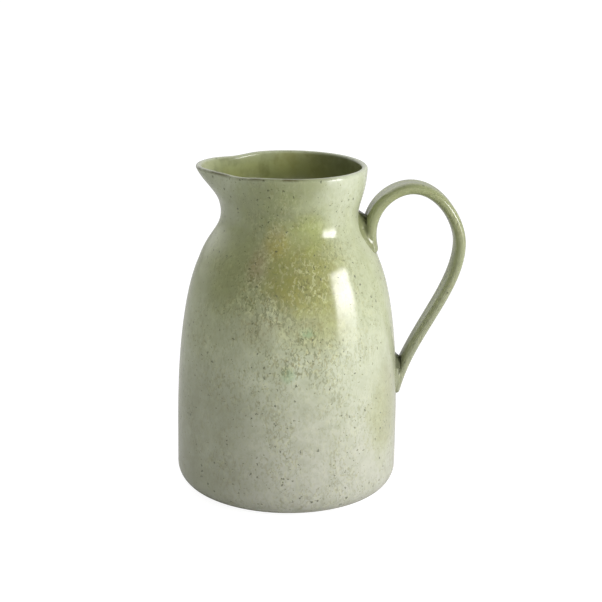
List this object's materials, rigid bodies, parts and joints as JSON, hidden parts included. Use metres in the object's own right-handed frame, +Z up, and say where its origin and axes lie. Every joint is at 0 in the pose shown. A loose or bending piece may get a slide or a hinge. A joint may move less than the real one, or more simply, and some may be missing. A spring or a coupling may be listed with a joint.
{
  "type": "ceramic pitcher",
  "caption": "Glazed stoneware pitcher with a full round belly, a drawn-in neck, a pulled pouring spout and a tall strap handle, for serving water or holding flowers.",
  "frame": {"origin": "on the resting plane, under the middle of the whole pitcher from belly to handle; the vessel's own axis stands 20.96 mm to -X of it", "axes": "+Z up, +X towards the handle, -X towards the spout"},
  "size_m": [0.1844, 0.1424, 0.211],
  "materials": {
    "vessel_glaze": "glossy speckled sage-green reactive glaze",
    "handle_glaze": "glossy speckled sage-green reactive glaze",
    "joint_glaze": "glossy green glaze pooled in the joint"
  },
  "bodies": {
    "root": {"vessel": "vessel_glaze", "handle": "handle_glaze", "upper_slip_joint": "joint_glaze", "lower_slip_joint": "joint_glaze"}
  },
  "joints": []
}
